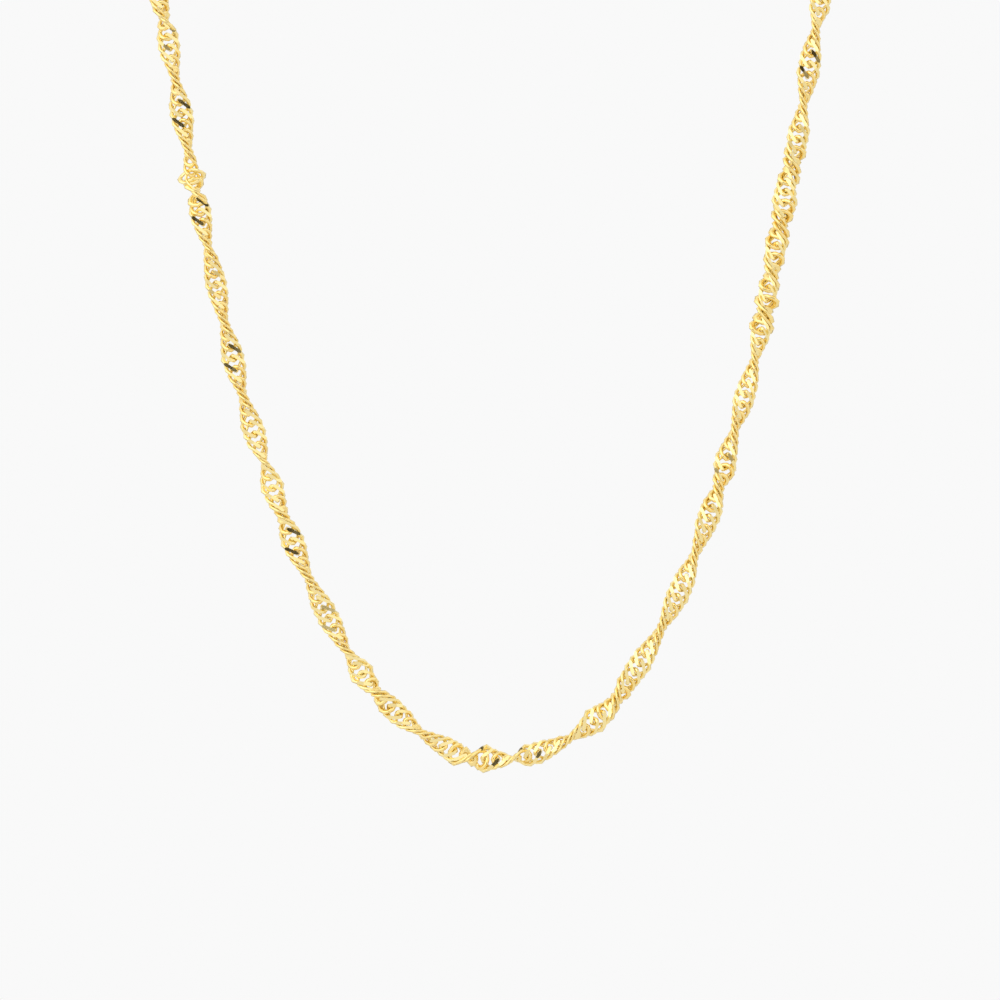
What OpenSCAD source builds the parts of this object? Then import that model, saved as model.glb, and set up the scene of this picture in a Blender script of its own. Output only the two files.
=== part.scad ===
// Singapore chain necklace, closed, as it hangs round a neck. Millimetres, +Z up, front towards -Y.
// The origin is the middle of the nape, on the line of the chain.

/* [Chain] */
// Width of the twisted chain where its band faces the eye
chain_w = 3; // [2.6:0.1:3.2]
// Flats round the chain's tube
chain_sides = 8; // [8:1:12]

/* [Jump rings] */
// Outer diameter of a jump ring
ring_od = 3.6; // [3.4:0.1:4]
// Thickness of a jump ring's wire
ring_wire = 0.6; // [0.5:0.05:0.7]

/* [Clasp] */
// Outer diameter of the clasp's round body
clasp_od = 6; // [5.6:0.1:6.4]
// Thickness of the clasp's round body
clasp_tube = 1.2; // [1:0.1:1.3]
// Outer diameter of the eye soldered to the clasp
eye_od = 2.4; // [2.3:0.1:2.8]
// Thickness of the eye's wire
eye_wire = 0.6; // [0.5:0.05:0.65]
// Height of the thumb stud above the clasp's body
stud_h = 0.7; // [0.5:0.1:1]
// Diameter of the thumb stud
stud_d = 0.9; // [0.7:0.1:1.1]

/* [Hidden] */

$fn = 48;

// Clearance between two links that pull on each other
play = 0.15;
// Turn of the thumb stud round the clasp, from the eye
stud_turn = 50;

// The line of the chain from the left jump ring, down the front and up again to the right one
ROUTE = [
    [-6, 0, 0],
    [-18, -3.5, 0],
    [-29.5, -10.5, -1],
    [-38.5, -20.5, -2],
    [-44, -33, -3],
    [-45.5, -46, -4.5],
    [-45.5, -56, -12],
    [-44.5, -60, -25],
    [-43, -60, -37],
    [-41, -60, -48],
    [-39, -60, -59],
    [-36.5, -60, -70.5],
    [-33.5, -60, -83.5],
    [-30.5, -60, -94],
    [-27, -60, -104],
    [-23, -60, -113.5],
    [-18.5, -60, -122],
    [-13, -60, -129],
    [-6.5, -60, -134],
    [1, -60, -136],
    [8.5, -60, -134],
    [15, -60, -129.5],
    [20, -60, -122.5],
    [24.5, -60, -114],
    [28.5, -60, -104],
    [31.5, -60, -94],
    [34.5, -60, -83],
    [37, -60, -70.5],
    [39, -60, -59],
    [41, -60, -48.5],
    [43, -60, -37],
    [44.5, -60, -25],
    [45.5, -56, -12],
    [45.5, -46, -4.5],
    [44, -33, -3],
    [38.5, -20.5, -2],
    [29.5, -10.5, -1],
    [18, -3.5, 0],
    [6, 0, 0]
];
ROUTE_LAST = len(ROUTE) - 1;
RINGS_PER_SPAN = 2;
RING_LAST = ROUTE_LAST * RINGS_PER_SPAN;

ring_r = (ring_od - ring_wire) / 2;
clasp_r = (clasp_od - clasp_tube) / 2;
eye_r = (eye_od - eye_wire) / 2;

// Stations along the nape, measured from the middle of the clasp's round body
right_bite_x = clasp_r - clasp_tube / 2 - play - ring_wire / 2;
right_ring_x = right_bite_x + ring_r;
eye_x = -(clasp_r + clasp_tube / 2 + eye_r - eye_wire / 2);
left_bite_x = eye_x - eye_r + eye_wire / 2 + play + ring_wire / 2;
left_ring_x = left_bite_x - ring_r;
// The row of clasp and rings has its middle at the nape
clasp_x = -(left_ring_x + right_ring_x) / 2;

// A point of the route, carried straight on past either end
function stop(i) =
    i < 0 ? 2 * ROUTE[0] - ROUTE[1]
    : i > ROUTE_LAST ? 2 * ROUTE[ROUTE_LAST] - ROUTE[ROUTE_LAST - 1]
    : ROUTE[i];

// Smooth curve through b and c, with a before and d after them
function between(a, b, c, d, t) =
    0.5 * (2 * b + (c - a) * t
    + (2 * a - 5 * b + 4 * c - d) * t * t
    + (3 * b - a - 3 * c + d) * t * t * t);

// Place on the route at u spans from its start
function on_route(u) =
    let (i = min(floor(u), ROUTE_LAST - 1))
    between(stop(i - 1), stop(i), stop(i + 1), stop(i + 2), u - i);

function unit(v) = v / norm(v);

// What is left of v when its share along the unit vector t is taken away
function square_to(v, t) = unit(v - (v * t) * t);

centres = [for (i = [0 : RING_LAST]) on_route(i / RINGS_PER_SPAN)];
headings = [
    for (i = [0 : RING_LAST])
    unit(centres[min(i + 1, RING_LAST)] - centres[max(i - 1, 0)])
];
// Sideways direction of each ring, carried along the route without a twist
sides = [
    for (i = 0, s = square_to([0, 0, 1], headings[0]);
        i <= RING_LAST;
        i = i + 1, s = square_to(s, headings[min(i, RING_LAST)]))
    s
];

// Tube of n flats swept along the route
module swept_tube(radius, n) {
    points = [
        for (i = [0 : RING_LAST], k = [0 : n - 1])
        let (across = cross(headings[i], sides[i]))
        centres[i] + radius * (cos(k * 360 / n) * sides[i] + sin(k * 360 / n) * across)
    ];
    walls = [
        for (i = [0 : RING_LAST - 1], k = [0 : n - 1])
        let (here = i * n, next = here + n, k2 = (k + 1) % n)
        [here + k, next + k, next + k2, here + k2]
    ];
    start_cap = [[for (k = [0 : n - 1]) k]];
    end_cap = [[for (k = [n - 1 : -1 : 0]) RING_LAST * n + k]];
    polyhedron(points = points, faces = concat(walls, start_cap, end_cap));
}

// Round wire bent to a closed ring about Z
module wire_ring(radius, wire) {
    rotate_extrude()
    translate([radius, 0])
    circle(d = wire);
}

module chain() {
    color("gold")
    swept_tube(chain_w / 2, chain_sides);
}

// A jump ring lies flat, square to the clasp that it holds
module jump_ring(x) {
    color("goldenrod")
    translate([clasp_x + x, 0, 0])
    wire_ring(ring_r, ring_wire);
}

module ring_left() {
    jump_ring(left_ring_x);
}

module ring_right() {
    jump_ring(right_ring_x);
}

// Closed round body, soldered eye and thumb stud are one piece, which stands in the plane of the nape
module clasp() {
    color("gold")
    translate([clasp_x, 0, 0])
    rotate([90, 0, 0]) {
        wire_ring(clasp_r, clasp_tube);
        translate([eye_x, 0, 0])
        wire_ring(eye_r, eye_wire);
        rotate([0, 0, 180 - stud_turn])
        translate([clasp_r, 0, 0])
        rotate([0, 90, 0])
        cylinder(d = stud_d, h = clasp_tube / 2 + stud_h);
    }
}

chain();
ring_left();
ring_right();
clasp();
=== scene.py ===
# %% [markdown]
# A singapore chain is a flat double curb chain that its maker has twisted, so that the flat band turns
# round and round its own line. Wide places, where the band faces you, change with narrow waists, where you
# see its edge. This lesson models three kinds of link, lays some three hundred copies of them beside the
# line on which the chain hangs, each turned a little further than the last, and joins them to one chain.

import math

import bpy
import numpy as np
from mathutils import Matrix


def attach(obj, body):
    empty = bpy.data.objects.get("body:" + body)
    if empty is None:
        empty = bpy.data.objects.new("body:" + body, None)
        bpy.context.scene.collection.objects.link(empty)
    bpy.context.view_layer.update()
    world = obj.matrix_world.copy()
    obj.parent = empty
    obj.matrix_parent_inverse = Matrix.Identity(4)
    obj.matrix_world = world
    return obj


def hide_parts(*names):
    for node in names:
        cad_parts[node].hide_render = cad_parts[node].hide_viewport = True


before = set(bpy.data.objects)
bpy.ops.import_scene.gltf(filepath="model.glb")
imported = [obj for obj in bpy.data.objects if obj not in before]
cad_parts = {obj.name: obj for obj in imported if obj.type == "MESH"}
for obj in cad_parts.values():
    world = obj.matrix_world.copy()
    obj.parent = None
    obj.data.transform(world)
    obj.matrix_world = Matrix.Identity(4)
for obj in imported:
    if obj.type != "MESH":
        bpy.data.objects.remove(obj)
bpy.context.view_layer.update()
print("pieces in the frame:", sorted(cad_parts))

# %% [markdown]
# Sizes are real ones, written in millimetres times MM, because Blender works in metres here. The photograph
# is 1000 pixels wide and 130 mm of the necklace fit in it. Its lower stretch hangs in one upright plane,
# 60 mm in front of the nape, and the camera looks at that plane squarely.

# %% The camera, as the photograph was taken
MM = 0.001
PIXEL = 0.13 * MM
PHOTO_PIXELS = 1000
FRONT_PLANE = -60 * MM
PHOTO_MIDDLE = (1.3 * MM, -102.27 * MM)
CAMERA_DISTANCE = 2.0
SENSOR = 36.0
FARTHEST_SEEN = 20


def add_camera():
    """A long lens, level and square to the plane in which the front of the chain hangs."""
    bpy.ops.object.camera_add(
        location=(PHOTO_MIDDLE[0], FRONT_PLANE - CAMERA_DISTANCE, PHOTO_MIDDLE[1]),
        rotation=(math.radians(90), 0, 0),
    )
    camera = bpy.context.object
    camera.name = "camera"
    camera.data.sensor_width = SENSOR
    camera.data.lens = SENSOR * CAMERA_DISTANCE / (PHOTO_PIXELS * PIXEL)
    camera.data.clip_end = FARTHEST_SEEN
    bpy.context.scene.camera = camera
    return camera


camera = add_camera()
print("lens", round(camera.data.lens), "mm")

# %% [markdown]
# The line of the chain is the one that the construction uses: a curve through listed points, from
# the left ring, over the shoulder, down the front, and up again. Between two points the curve is a
# Catmull-Rom one, which passes through every point. It is cut into short steps, so that any place on it can
# be found by its distance along the chain. At both ends it is carried straight on for 3 mm, because the
# first and the last links reach past the ends of the chain's own line.

# %% The line of the chain
ROUTE = np.array([
    (-6, 0, 0), (-18, -3.5, 0), (-29.5, -10.5, -1), (-38.5, -20.5, -2), (-44, -33, -3),
    (-45.5, -46, -4.5), (-45.5, -56, -12), (-44.5, -60, -25), (-43, -60, -37), (-41, -60, -48),
    (-39, -60, -59), (-36.5, -60, -70.5), (-33.5, -60, -83.5), (-30.5, -60, -94), (-27, -60, -104),
    (-23, -60, -113.5), (-18.5, -60, -122), (-13, -60, -129), (-6.5, -60, -134), (1, -60, -136),
    (8.5, -60, -134), (15, -60, -129.5), (20, -60, -122.5), (24.5, -60, -114), (28.5, -60, -104),
    (31.5, -60, -94), (34.5, -60, -83), (37, -60, -70.5), (39, -60, -59), (41, -60, -48.5),
    (43, -60, -37), (44.5, -60, -25), (45.5, -56, -12), (45.5, -46, -4.5), (44, -33, -3),
    (38.5, -20.5, -2), (29.5, -10.5, -1), (18, -3.5, 0), (6, 0, 0),
]) * MM
STEPS = 60
STRAIGHT_ENDS = 3 * MM


def catmull_rom(points, steps):
    """Points on the smooth curve through the given ones, with its ends carried straight on."""
    before = 2 * points[0] - points[1]
    after = 2 * points[-1] - points[-2]
    held = np.vstack([before, points, after])
    along = (np.arange(steps) / steps)[:, None]
    runs = []
    for a, b, c, d in zip(held, held[1:], held[2:], held[3:]):
        bend = (2 * a - 5 * b + 4 * c - d) * along**2
        turn = (3 * b - a - 3 * c + d) * along**3
        runs.append(0.5 * (2 * b + (c - a) * along + bend + turn))
    return np.vstack(runs + [points[-1:]])


def unit(vectors):
    """The same directions, each of length one."""
    return vectors / np.linalg.norm(vectors, axis=-1, keepdims=True)


line = catmull_rom(ROUTE, STEPS)
line = np.vstack([
    line[:1] - STRAIGHT_ENDS * unit(line[1] - line[0]),
    line,
    line[-1:] + STRAIGHT_ENDS * unit(line[-1] - line[-2]),
])
distance = np.concatenate([[0], np.cumsum(np.linalg.norm(np.diff(line, axis=0), axis=1))])
lowest = int(np.argmin(abs(line[:, 0]) + line[:, 2]))
distance -= distance[lowest]
chain_start = distance[0] + STRAIGHT_ENDS
chain_end = distance[-1] - STRAIGHT_ENDS
print("chain length", round((chain_end - chain_start) / MM, 1), "mm")

# %% [markdown]
# A place beside the line needs two more directions: one to the front of the band and one to its side. A
# frame that is carried along the line with no twist of its own gives them. It starts at the lowest point,
# where the front is towards the camera, and each step turns it only as much as the line bends.

# %% Directions beside the line
ALONG = unit(np.gradient(line, distance, axis=0))


def carried_front(order, first):
    """The front direction, carried along the line without any twist, in the given order of places."""
    front = np.zeros_like(line)
    front[order[0]] = first
    for last, this in zip(order, order[1:]):
        straight = front[last] - ALONG[this] * np.dot(front[last], ALONG[this])
        front[this] = unit(straight)
    return front


CAMERA_WAY = np.array([0, -1.0, 0])
onwards = carried_front(list(range(lowest, len(line))), CAMERA_WAY)
backwards = carried_front(list(range(lowest, -1, -1)), CAMERA_WAY)
FRONT = np.where((np.arange(len(line)) >= lowest)[:, None], onwards, backwards)
SIDE = np.cross(FRONT, ALONG)


def at(table, places):
    """Rows of a table along the line, read at the given distances."""
    return np.stack([np.interp(places, distance, column) for column in table.T], axis=-1)


print("front at the lowest point:", FRONT[lowest].round(3))

# %% [markdown]
# Where the band faces you, and where you see its edge, is read from the photograph, as distances along the
# chain from its lowest point. The two kinds of place take turns, a quarter turn of the band apart. Out of
# the picture the chain goes on turning evenly up to the jump rings, in which the outermost links stand about
# upright. Their own twist turns the ends of links some 45 degrees from the middle, which is allowed for.

# %% The twist, a quarter turn at a time
HALF_TURN = 8.2 * MM
# pixels along the chain from the lowest point: waists and the wide places between them
WAISTS = [
    -846, -786, -714, -671, -616, -538, -463, -392, -335, -268, -184, -135, -76, -21,
    24, 84, 143, 226, 309, 379, 440, 514, 560, 601, 648, 710, 771, 848,
]
WIDE_PLACES = [
    -826, -750, -687, -649, -577, -499, -424, -367, -308, -227, -158, -108, -38, -3,
    43, 117, 183, 270, 350, 404, 476, 541, 579, 624, 679, 739, 812,
]
QUARTER_TURN = math.radians(90)
CHAIN_TWIST = math.pi / HALF_TURN
END_REACH = math.radians(45)
# rows of the line for the first and the last point of its route
FIRST_ROW = 1
LAST_ROW = -2
read_at = np.sort(np.array(WAISTS + WIDE_PLACES)) * PIXEL
read_turns = (np.arange(len(read_at)) - 1) * QUARTER_TURN


def upright_turn(index):
    """The turn, within a half one, that stands the band upright at a place on the line."""
    up = np.array([0, 0, 1.0])
    return math.atan2(np.dot(up, FRONT[index]), np.dot(up, SIDE[index])) % math.pi


def turn_near(even, wanted):
    """A turn that shows the same as the wanted one, as near as may be to an even turning."""
    return wanted + round((even - wanted) / math.pi) * math.pi


even_start = read_turns[0] - (read_at[0] - chain_start) * CHAIN_TWIST
even_end = read_turns[-1] + (chain_end - read_at[-1]) * CHAIN_TWIST
start_turn = turn_near(even_start, END_REACH - upright_turn(FIRST_ROW))
end_turn = turn_near(even_end, -END_REACH - upright_turn(LAST_ROW))
print("quarter turns in the photograph:", len(read_at) - 1)

# %% [markdown]
# Between those places the turn is filled in evenly, and a moving average rounds the changes of pace, as the
# stiff wire does. Its weights rise from nothing to the middle and fall to nothing again.

# %% The turn along the chain
SMOOTHING = 1.2 * MM
TABLE_STEP = 0.1 * MM
fine = np.arange(chain_start - STRAIGHT_ENDS, chain_end + STRAIGHT_ENDS, TABLE_STEP)
places = np.concatenate([[fine[0], chain_start], read_at, [chain_end, fine[-1]]])
turns = np.concatenate([
    [start_turn - STRAIGHT_ENDS * CHAIN_TWIST, start_turn],
    read_turns,
    [end_turn, end_turn + STRAIGHT_ENDS * CHAIN_TWIST],
])
reach = round(SMOOTHING / TABLE_STEP) + 1
window = np.hanning(2 * reach + 1)
padded = np.pad(np.interp(fine, places, turns), reach, mode="reflect", reflect_type="odd")
turn = np.convolve(padded, window / window.sum(), mode="valid")
print("turns in all:", round((turn[-1] - turn[0]) / (2 * math.pi), 1))

# %% [markdown]
# One link first. On the real chain it is a ring of round wire, pressed to an oval and twisted about its
# length by close on a quarter turn, so that the links lie flat on each other. Here it starts as a thin ring
# that is scaled to an oval in edit mode. Fattening it afterwards gives the wire the same thickness all
# round, which scaling alone would spoil. A Simple Deform modifier then twists it. The twist of the finished
# chain is already in it, so that the faces that are cut next stay flat.
#
# Three kinds are made. The first stays plain round wire and is for the waists. The second is short and
# broad, for the one place where a link lies across the chain. The third gets diamond cuts and is for the
# wide places.

# %% The link's sizes
PITCH = 2.8 * MM
WIRE = 0.62 * MM
LINK_HALF_LENGTH = 1.74 * MM
LINK_HALF_WIDTH = 1.25 * MM
ACROSS_HALF_LENGTH = 0.85 * MM
ACROSS_HALF_WIDTH = 1.62 * MM
PAIR_SPREAD = 1.4 * MM
LINK_SEGMENTS = 16
WIRE_SIDES = 6
START_WIRE = 0.1 * MM
OWN_TWIST = math.radians(70) / PITCH
LINK_TWIST = OWN_TWIST + CHAIN_TWIST


def deselect():
    """Nothing selected, so that the next operator meets only what it is meant for."""
    bpy.ops.object.select_all(action="DESELECT")


def model_link(name, half_length, half_width):
    """One oval ring of wire, twisted about its length."""
    deselect()
    bpy.ops.mesh.primitive_torus_add(
        major_segments=LINK_SEGMENTS,
        minor_segments=WIRE_SIDES,
        major_radius=half_length,
        minor_radius=START_WIRE / 2,
    )
    link = bpy.context.object
    link.name = name
    bpy.ops.object.mode_set(mode="EDIT")
    bpy.ops.mesh.select_all(action="SELECT")
    bpy.ops.transform.resize(value=(1, half_width / half_length, 1))
    bpy.ops.transform.shrink_fatten(value=(WIRE - START_WIRE) / 2)
    bpy.ops.object.mode_set(mode="OBJECT")
    twist = link.modifiers.new("twist", "SIMPLE_DEFORM")
    twist.deform_method = "TWIST"
    twist.deform_axis = "X"
    twist.angle = -LINK_TWIST * link.dimensions.x
    bpy.ops.object.modifier_apply(modifier=twist.name)
    return link


round_link = model_link("round_link", LINK_HALF_LENGTH, LINK_HALF_WIDTH)
bpy.ops.object.shade_smooth()
across_link = model_link("across_link", ACROSS_HALF_LENGTH, ACROSS_HALF_WIDTH)
bpy.ops.object.shade_smooth()
cut_link = model_link("cut_link", LINK_HALF_LENGTH, LINK_HALF_WIDTH)
print("link", [round(side / MM, 2) for side in cut_link.dimensions], "mm")

# %% [markdown]
# The sparkle comes from diamond cuts: after twisting, a wheel planes flats on the outermost stretch of each
# wire. A bisect with fill takes off such a cap and closes it with one flat face. Two passes, leaning a
# little apart, meet in a low ridge in the middle of each arch. Seen from the front the two arches of a link
# lie opposite each other, so one plane cuts both of them. The edges of a cut are marked sharp, and all the
# rest of the link is shaded smooth.

# %% Diamond cuts
CUT_DEPTH = 0.38 * MM
CUT_LEAN = math.radians(3)
SAME_POINT = 1e-7


def cut_flats(plane_point, plane_normal):
    """Planes off all of the active object that stands beyond a plane."""
    bpy.ops.object.mode_set(mode="EDIT")
    bpy.ops.mesh.select_all(action="SELECT")
    bpy.ops.mesh.bisect(
        plane_co=tuple(plane_point),
        plane_no=tuple(plane_normal),
        use_fill=True,
        clear_outer=True,
        threshold=SAME_POINT,
    )
    bpy.ops.mesh.mark_sharp()
    bpy.ops.object.mode_set(mode="OBJECT")


points = np.array([vertex.co for vertex in cut_link.data.vertices])
highest = points[:, 2].max()
arch_top = points[(points[:, 2] > highest - CUT_DEPTH) & (points[:, 0] > 0)].mean(axis=0)
wire_way = unit(np.array([arch_top[1], -arch_top[0], 0]))
ridge = np.array([arch_top[0], arch_top[1], highest - CUT_DEPTH])
for face in (1, -1):
    to_face = np.array([1, face, face])
    for lean in (CUT_LEAN, -CUT_LEAN):
        outward = np.array([0, 0, math.cos(lean)]) + wire_way * math.sin(lean)
        cut_flats(ridge * to_face, outward * to_face)
bpy.ops.object.shade_smooth()
print("faces on one link:", len(cut_link.data.polygons), "top of an arch", (arch_top / MM).round(2))

# %% [markdown]
# A pair of links takes 2.8 mm of the chain, and the two lie half of that apart. So the links follow each
# other evenly, and every link passes through four others. At some wide places of the photograph a link lies
# almost square to the view, which turns its cut flats to the camera. The links are spaced from ring to ring
# and then pulled a little, so that the nearest one comes to exactly such a place.

# %% Where the links lie
FIRST_LINK = 0.65 * MM
# pixels along the chain, and the degrees by which the square link there leans
SQUARE_LINKS = {
    -829: 8, -751: 0, -651: -0.5, -501: 1, -308: -0.5, -223: 3, -5: 1.5, 38: 3, 401: 9, 813: 2.5,
}
square_at = np.array(list(SQUARE_LINKS)) * PIXEL
room = chain_end - chain_start - 2 * FIRST_LINK
pair_count = round(room / PITCH)
pair_places = chain_start + FIRST_LINK + PAIR_SPREAD / 2 + np.arange(pair_count) * (
    (room - PAIR_SPREAD) / (pair_count - 1)
)
link_places = np.sort(np.concatenate([pair_places - PAIR_SPREAD / 2, pair_places + PAIR_SPREAD / 2]))
nearest = np.array([np.argmin(abs(link_places - place)) for place in square_at])
anchors = np.concatenate([[0], nearest, [len(link_places) - 1]])
pulls = np.concatenate([[0], square_at - link_places[nearest], [0]])
link_places = link_places + np.interp(np.arange(len(link_places)), anchors, pulls)
print("links:", len(link_places), "furthest pull", round(abs(pulls).max() / MM, 2), "mm")

# %% [markdown]
# Small chance differences keep the links from looking stamped. Each one is set a little aside and forward,
# rocks a little, is a touch wider or narrower, and has a tone of its own, to which a painted reflection is
# added further on; the gold uses both.

# %% Chance
SEED = 7
SHIFT = 0.04 * MM
ROCK = math.radians(2.5)
WIDTH_RANGE = (0.97, 1.02)
count = len(link_places)
chance = np.random.default_rng(SEED)
shifts = chance.uniform(-SHIFT, SHIFT, (count, 2))
rocks = chance.uniform(-ROCK, ROCK, count)
widths = chance.uniform(*WIDTH_RANGE, count)
tones_and_painted_reflection = chance.uniform(0, 1, count)
print("links with their own chance:", count)

# %% [markdown]
# The photograph's own unevenness comes next, from short tables of places along the chain. One says how much
# wider the links thereabouts are, one which single links stand proud of their neighbours, and one how far
# the chain strays sideways.

# %% Widths and strays
# pixels along the chain, and how much wider the links thereabouts are
WIDER = {
    -826: 1.03, -750: 1.05, -715: 1.0, -702: 0.68, -673: 0.68, -662: 1.0, -649: 0.98, -577: 0.96,
    -499: 1.05, -424: 1.04, -367: 1.0, -308: 1.04, -227: 1.0, -158: 1.03, -108: 1.0, 43: 1.0,
    117: 1.05, 183: 1.04, 270: 1.05, 404: 1.03, 476: 0.98, 541: 0.87, 579: 0.83, 624: 0.95,
    679: 1.02, 739: 0.98, 812: 1.08,
}
# pixels along the chain, and how much wider still the one link there stands
PROUD_LINKS = {-370: 1.1, -318: 1.06, -158: 1.13, -2: 1.25, 118: 1.14, 676: 1.16}
# pixels along the chain, and how many the chain strays sideways there
STRAYS = {
    -840: 2, -800: 1, -715: 1.5, -690: -0.5, -665: 1, -600: 0.5, -500: 0, -450: -0.5, -390: 0.5,
    -350: -0.5, -250: -0.5, -200: 0.5, -150: -1, -50: 0, -26: -3, -10: 0.5, 60: -1.5, 125: -1,
    140: -3, 155: 0, 190: -1, 250: -1.5, 380: -0.5, 392: -2.5, 405: 0, 450: -1, 550: -1, 630: 0.5,
    665: -1.5, 690: 1, 718: -2.5, 755: -2, 800: -0.5, 840: 0.5,
}
wider_places = np.array(list(WIDER)) * PIXEL
widths *= np.interp(link_places, wider_places, list(WIDER.values()), left=1, right=1)
for place, wider in PROUD_LINKS.items():
    widths[np.argmin(abs(link_places - place * PIXEL))] *= wider
stray_places = np.array(list(STRAYS)) * PIXEL
strays = np.array(list(STRAYS.values())) * PIXEL
shifts[:, 0] += np.interp(link_places, stray_places, strays, left=0, right=0)
print("widths from", widths.min().round(2), "to", widths.max().round(2))

# %% [markdown]
# A link that faces you to within 45 degrees is cut, and one that rather shows its edge is not. The uncut
# ones are flatter, which gives the narrow waists, but at some waists of the photograph the band is thicker.
# Cut links have the paler tones and uncut ones the warmer. This is painted reflection: the links that
# face you are paler, and the edge-on ones of the waists are warmer, for the orange of light that has met
# gold again and again between them.

# %% Cut and uncut links
CUT_REACH = math.radians(45)
THICKNESS = 0.96
UNCUT_THICKNESS = 0.79
# pixels along the chain, and how much thicker the band is at the waist there
THICK_WAISTS = {
    -846: 1.25, -677: 1.65, -335: 1.3, -135: 1.45, -21: 1.7, 143: 1.42, 379: 1.35, 560: 2.0,
    601: 1.62, 648: 1.8, 710: 1.72,
}
# how far from its middle a thick waist ends, and the last stretch, over which it thins
WAIST_REACH = 20 * PIXEL
WAIST_FADE = 10 * PIXEL
TONE_RANGE = 0.35
turn_here = np.interp(link_places, fine, turn)
leans = turn_here - np.round(turn_here / math.pi) * math.pi
is_cut = abs(leans) < CUT_REACH
depths = np.ones(count)
for place, thicker in THICK_WAISTS.items():
    near = np.clip((WAIST_REACH - abs(link_places - place * PIXEL)) / WAIST_FADE, 0, 1)
    depths = np.maximum(depths, 1 + (thicker - 1) * near)
depths = np.where(is_cut, THICKNESS, UNCUT_THICKNESS * depths)
# painted reflection: paler colour for links that face the camera, warmer for edge-on links at the waists
tones_and_painted_reflection = np.where(is_cut, TONE_RANGE * tones_and_painted_reflection, 1 - TONE_RANGE * tones_and_painted_reflection)
print("cut links:", is_cut.sum())

# %% [markdown]
# The photograph shows dark flats in few places, so a link that would lie almost square by chance leans
# further. The ones that do lie square lean as their table says and stand a little forward of the others,
# which would hide their flats. On the left strand one link lies across the chain.

# %% Square links and the one across
LEAST_LEAN = math.radians(13)
SQUARE_FORWARD = 0.1 * MM
# pixels along the chain, where one link lies across it
ACROSS_PLACE = -687
too_square = abs(leans) < LEAST_LEAN
rocks[too_square] += (leans - LEAST_LEAN * np.sign(leans))[too_square]
rocks[nearest] = leans[nearest] + np.radians(list(SQUARE_LINKS.values()))
shifts[nearest, 1] = SQUARE_FORWARD
across_number = np.argmin(abs(link_places - ACROSS_PLACE * PIXEL))
link_places[across_number] = ACROSS_PLACE * PIXEL
widths[across_number] = 1
depths[across_number] = 1
print("links that are leant aside:", too_square.sum())

# %% [markdown]
# Each copy is scaled to its own width and thickness and turned about the chain's line. Then every point of
# it is set beside the line, where the line is at that point, so that a link bends with the chain as it does
# on a neck. The tone, with its painted reflection, goes with it as an attribute of its points.

# %% Copies of the links, laid along the line


def lay_link(model, number):
    """A copy of a link with its own mesh, carried to its place on the line."""
    copy = model.copy()
    copy.data = model.data.copy()
    copy.name = f"link_{number}"
    bpy.context.scene.collection.objects.link(copy)
    points = np.empty(len(copy.data.vertices) * 3)
    copy.data.vertices.foreach_get("co", points)
    points = points.reshape(-1, 3)
    middle = link_places[number]
    points *= (1, widths[number], depths[number])
    places_here = middle + points[:, 0]
    angle = rocks[number] - turn_here[number]
    across = points[:, 1] * np.cos(angle) - points[:, 2] * np.sin(angle) + shifts[number, 0]
    forward = points[:, 1] * np.sin(angle) + points[:, 2] * np.cos(angle) + shifts[number, 1]
    laid = at(line, places_here)
    laid += across[:, None] * at(SIDE, places_here) + forward[:, None] * at(FRONT, places_here)
    copy.data.vertices.foreach_set("co", laid.ravel())
    # the attribute carries each link's own tone together with its painted reflection
    tone = copy.data.attributes.new("tone", "FLOAT", "POINT")
    tone.data.foreach_set("value", np.full(len(points), tones_and_painted_reflection[number]))
    copy.data.update()
    return copy


models = [cut_link if cut else round_link for cut in is_cut]
models[across_number] = across_link
copies = [lay_link(model, number) for number, model in enumerate(models)]
for model in (cut_link, round_link, across_link):
    bpy.data.objects.remove(model)
print("copies laid:", len(copies))

# %% [markdown]
# The links are too many to be pieces of their own, so they are joined to one. It rides on the body that
# carries the chain, and takes the place of the plain tube.

# %% One piece from all the links
deselect()
for copy in copies:
    copy.select_set(True)
bpy.context.view_layer.objects.active = copies[0]
bpy.ops.object.join()
chain = bpy.context.object
chain.name = "chain_links"
chain.data.name = "chain_links"
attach(chain, "root")
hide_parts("chain")
triangles = sum(len(face.vertices) - 2 for face in chain.data.polygons)
print("triangles in the chain:", triangles)

# %% [markdown]
# Shader maths reads best as plain sums. One small class holds a node's output and turns +, - and * into
# Math nodes, also where the number comes first. Every other node comes from one method, which sets the
# node's own settings before it fills its sockets.

# %% A helper for shaders


class Output:
    """A node's output that can be used in sums."""

    def __init__(self, shader, socket):
        self.shader = shader
        self.socket = socket

    def maths(self, operation, first, second):
        return self.shader.maths(operation, first, second)

    def __add__(self, other):
        return self.maths("ADD", self, other)

    def __radd__(self, other):
        return self.maths("ADD", other, self)

    def __sub__(self, other):
        return self.maths("SUBTRACT", self, other)

    def __rsub__(self, other):
        return self.maths("SUBTRACT", other, self)

    def __mul__(self, other):
        return self.maths("MULTIPLY", self, other)

    def __rmul__(self, other):
        return self.maths("MULTIPLY", other, self)


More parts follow.
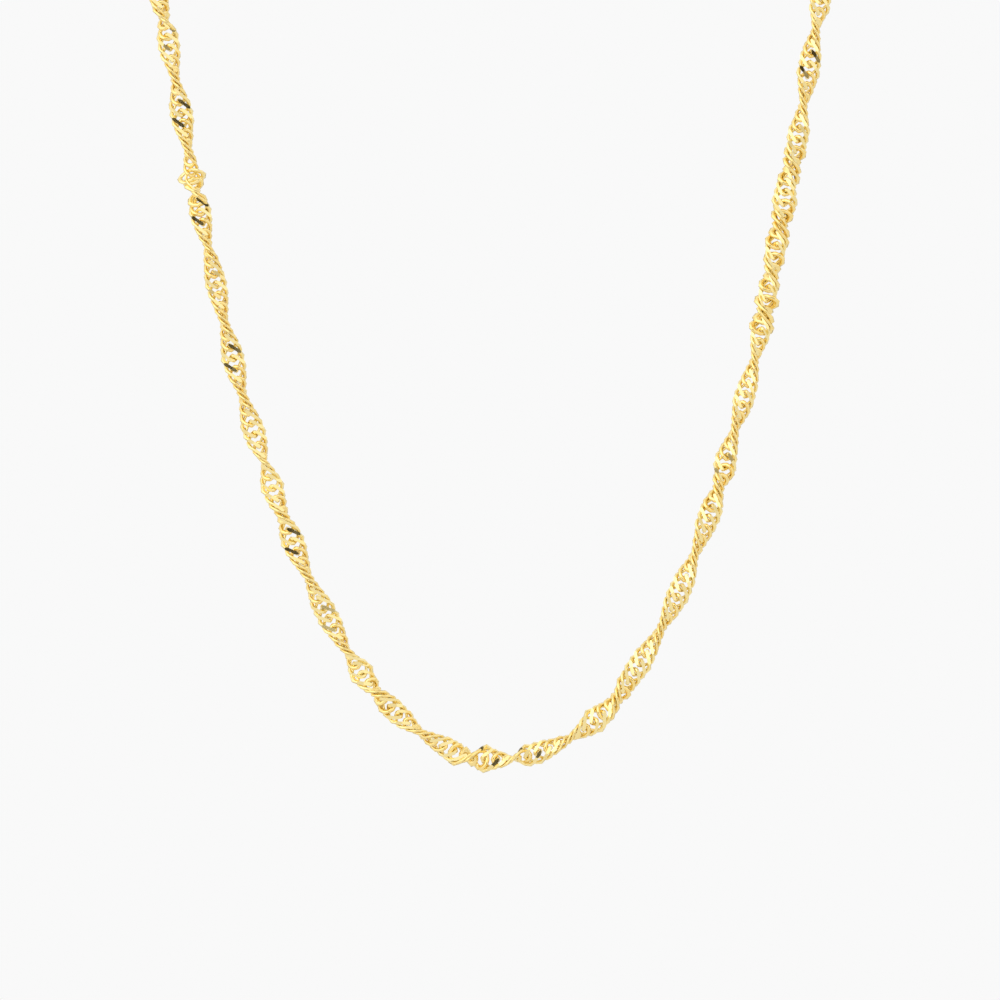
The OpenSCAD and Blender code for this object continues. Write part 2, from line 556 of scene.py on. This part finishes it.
class Shader:
    """The node tree of one material or world."""

    def __init__(self, owner):
        owner.use_nodes = True
        self.tree = owner.node_tree
        self.tree.nodes.clear()

    def node(self, kind, settings=None, inputs=None, output=0):
        """A node with its settings and inputs set, given back as one of its outputs."""
        made = self.tree.nodes.new(kind)
        for name, value in (settings or {}).items():
            if name == "stops":
                self.set_stops(made.color_ramp.elements, value)
            else:
                setattr(made, name, value)
        for name, value in (inputs or {}).items():
            if isinstance(value, Output):
                self.tree.links.new(value.socket, made.inputs[name])
            else:
                made.inputs[name].default_value = value
        return Output(self, made.outputs[output]) if made.outputs else None

    def maths(self, operation, first, second):
        """One Math node."""
        return self.node("ShaderNodeMath", {"operation": operation}, {0: first, 1: second})

    def set_stops(self, elements, stops):
        """The positions and colours of a ramp."""
        while len(elements) < len(stops):
            elements.new(0.5)
        for element, (position, colour) in zip(elements, stops):
            element.position = position
            element.color = (*colour, 1)


print("shader helper ready")

# %% [markdown]
# Polished yellow gold has no colour of its own but the one that it gives its reflections. A wire that
# mirrors the white surround once is pale, one that mirrors another wire is deeper, and between the links the
# light has met gold three or four times and comes out orange. So the base colour is plain and pale, and most
# of the depth comes from the links; on top of that a painted reflection makes the edge-on links of the
# waists warmer and the links that face the camera paler. Fine noise varies the polish, and the tone of each
# link, with its painted reflection, sets how warm it is.

# %% Polished gold
PALE_GOLD = (0.985, 0.865, 0.465)
# the warm end, used for the chance tone and for the painted reflection on edge-on links
WARM_GOLD_AND_PAINTED_REFLECTION = (0.985, 0.755, 0.285)
TONE_AND_PAINTED_REFLECTION_SHARE = 0.6
PATCH_SCALE = 900.0
PATCH_DETAIL = 2.0
MARK_SCALE = 9000.0
MARK_DETAIL = 3.0
MARK_ROUGHNESS = 0.6
MARK_STRENGTH = 0.15
MARK_DEPTH = 0.004 * MM
LEAST_HAZE = 0.07
MORE_HAZE = 0.12


def polished_gold(name, has_tones_and_painted_reflection):
    """Gold with a maker's polish: a slight change of tone, with painted reflection in the links' tone, haze
    in patches and hair-fine marks.
    """
    material = bpy.data.materials.new(name)
    shader = Shader(material)
    place = shader.node("ShaderNodeTexCoord", output="Object")
    patches = shader.node(
        "ShaderNodeTexNoise",
        {"noise_dimensions": "3D"},
        {"Vector": place, "Scale": PATCH_SCALE, "Detail": PATCH_DETAIL},
    )
    marks = shader.node(
        "ShaderNodeTexNoise",
        {"noise_dimensions": "3D"},
        {"Vector": place, "Scale": MARK_SCALE, "Detail": MARK_DETAIL, "Roughness": MARK_ROUGHNESS},
    )
    if has_tones_and_painted_reflection:
        # the links' tone attribute, which holds painted reflection as well as their own tone
        tone = shader.node("ShaderNodeAttribute", {"attribute_name": "tone"}, output="Fac")
        mixing = TONE_AND_PAINTED_REFLECTION_SHARE * tone + (1 - TONE_AND_PAINTED_REFLECTION_SHARE) * patches
    else:
        mixing = patches
    colour = shader.node(
        "ShaderNodeMix",
        {"data_type": "RGBA"},
        {"Factor": mixing, 6: (*PALE_GOLD, 1), 7: (*WARM_GOLD_AND_PAINTED_REFLECTION, 1)},
        output=2,
    )
    bump = shader.node(
        "ShaderNodeBump", None, {"Strength": MARK_STRENGTH, "Distance": MARK_DEPTH, "Height": marks}
    )
    surface = shader.node(
        "ShaderNodeBsdfPrincipled",
        None,
        {
            "Base Color": colour,
            "Metallic": 1.0,
            "Roughness": LEAST_HAZE + MORE_HAZE * patches,
            "Normal": bump,
        },
    )
    shader.node("ShaderNodeOutputMaterial", None, {"Surface": surface})
    return material


gold = polished_gold("polished_gold", True)
fitting_gold = polished_gold("polished_fittings", False)
chain.data.materials.clear()
chain.data.materials.append(gold)
for name in ("ring_left", "ring_right", "clasp"):
    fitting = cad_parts[name]
    fitting.data.materials.clear()
    fitting.data.materials.append(fitting_gold)
print("materials:", gold.name, fitting_gold.name)

# %% [markdown]
# The photograph is a bright product picture: pale all round, with only the camera itself dark. A polished
# flat that faces the camera mirrors it and turns dark brown, and all the rest mirrors the bright surround.
# That is a soft and slightly warm ground with five white windows in it. The world holds all of it, but to
# the camera it shows the plain pale ground of the photograph.

# %% The bright surround
GROUND = 0.947
DIM_PART = 0.70
CAMERA_DARK = 0.03
DARK_COLOUR = (1.0, 0.72, 0.3)
DIM_COLOUR = (1.0, 0.95, 0.86)
# how far from the camera's own direction the dark is whole, and where it ends
DARK_MIDDLE = math.cos(math.radians(7))
DARK_EDGE = math.cos(math.radians(19))
# the share of its half width over which a window fades, inwards and outwards
WINDOW_FADE = 0.25
# towards where each soft window lies, its half width in degrees, and its strength
WINDOWS = [
    ((-0.55, -0.55, 0.62), 48, 0.50),
    ((0.75, -0.45, 0.30), 38, 0.4),
    ((-0.80, 0.10, -0.30), 40, 0.35),
    ((0.20, -0.50, -0.85), 34, 0.35),
    ((0.10, 0.95, 0.30), 60, 0.35),
]


def bright_surround():
    """White soft windows on a dimmer ground, and dark round the camera's own direction."""
    world = bpy.data.worlds.new("surround")
    bpy.context.scene.world = world
    shader = Shader(world)
    way = shader.node("ShaderNodeTexCoord", output="Generated")

    def towards(direction):
        return shader.node(
            "ShaderNodeVectorMath",
            {"operation": "DOT_PRODUCT"},
            {0: way, 1: tuple(unit(np.array(direction)))},
            output="Value",
        )

    glow = 0.0
    for direction, half_width, strength in WINDOWS:
        glow = glow + shader.node(
            "ShaderNodeMapRange",
            {"interpolation_type": "SMOOTHSTEP"},
            {
                "Value": towards(direction),
                "From Min": math.cos(math.radians(half_width * (1 + WINDOW_FADE))),
                "From Max": math.cos(math.radians(half_width * (1 - WINDOW_FADE))),
                "To Min": 0.0,
                "To Max": strength,
            },
        )
    open_part = shader.node(
        "ShaderNodeMapRange",
        {"interpolation_type": "SMOOTHSTEP"},
        {
            "Value": towards(CAMERA_WAY),
            "From Min": DARK_MIDDLE,
            "From Max": DARK_EDGE,
            "To Min": 0.0,
            "To Max": 1.0,
        },
    )
    seen = shader.node("ShaderNodeLightPath", output="Is Camera Ray")
    colour = shader.node(
        "ShaderNodeMix",
        {"data_type": "RGBA"},
        {"Factor": open_part, 6: (*DARK_COLOUR, 1), 7: (*DIM_COLOUR, 1)},
        output=2,
    )
    dim = (1 - seen) * (CAMERA_DARK * (1 - open_part) + DIM_PART * open_part)
    bright = seen * GROUND + (1 - seen) * glow * open_part
    dim_light = shader.node("ShaderNodeBackground", None, {"Color": colour, "Strength": dim})
    white_light = shader.node("ShaderNodeBackground", None, {"Color": (1, 1, 1, 1), "Strength": bright})
    light = shader.node("ShaderNodeAddShader", None, {0: dim_light, 1: white_light})
    shader.node("ShaderNodeOutputWorld", None, {"Surface": light})
    return world


bright_surround()
bpy.context.scene.view_settings.view_transform = "Standard"
print("soft windows:", len(WINDOWS))

# %% [markdown]
# A large soft lamp above and to the left gives the creamy highlights. A pale floor lies well below the
# chain, out of the photograph's view, where it fills in the light from underneath.

# %% Lamp and floor
FLOOR_HEIGHT = -0.28
FLOOR_SIZE = 6.0
FLOOR_COLOUR = (0.8, 0.8, 0.8, 1)
FLOOR_ROUGHNESS = 0.9
LAMP_PLACE = (-0.5, -0.7, 0.5)
LAMP_SIZE = 1.0
LAMP_POWER = 1.3


def add_lamp():
    """A soft square lamp that looks at the lower part of the chain."""
    bpy.ops.object.light_add(type="AREA", location=LAMP_PLACE)
    lamp = bpy.context.object
    lamp.name = "soft_lamp"
    lamp.data.size = LAMP_SIZE
    lamp.data.energy = LAMP_POWER
    aim = np.array([PHOTO_MIDDLE[0], FRONT_PLANE, PHOTO_MIDDLE[1]]) - np.array(LAMP_PLACE)
    level = math.hypot(aim[0], aim[1])
    lamp.rotation_euler = (math.atan2(level, -aim[2]), 0, math.atan2(-aim[0], aim[1]))
    return lamp


def add_floor():
    """A wide pale floor under the chain."""
    deselect()
    bpy.ops.mesh.primitive_plane_add(size=FLOOR_SIZE, location=(0, 0, FLOOR_HEIGHT))
    floor = bpy.context.object
    floor.name = "floor"
    material = bpy.data.materials.new("pale_floor")
    shader = Shader(material)
    surface = shader.node(
        "ShaderNodeBsdfPrincipled", None, {"Base Color": FLOOR_COLOUR, "Roughness": FLOOR_ROUGHNESS}
    )
    shader.node("ShaderNodeOutputMaterial", None, {"Surface": surface})
    floor.data.materials.append(material)
    return floor


add_lamp()
add_floor()
print("floor at", FLOOR_HEIGHT, "m")

# %% [markdown]
# Last, the scene is brought up to date.

# %% Finish
bpy.context.view_layer.update()
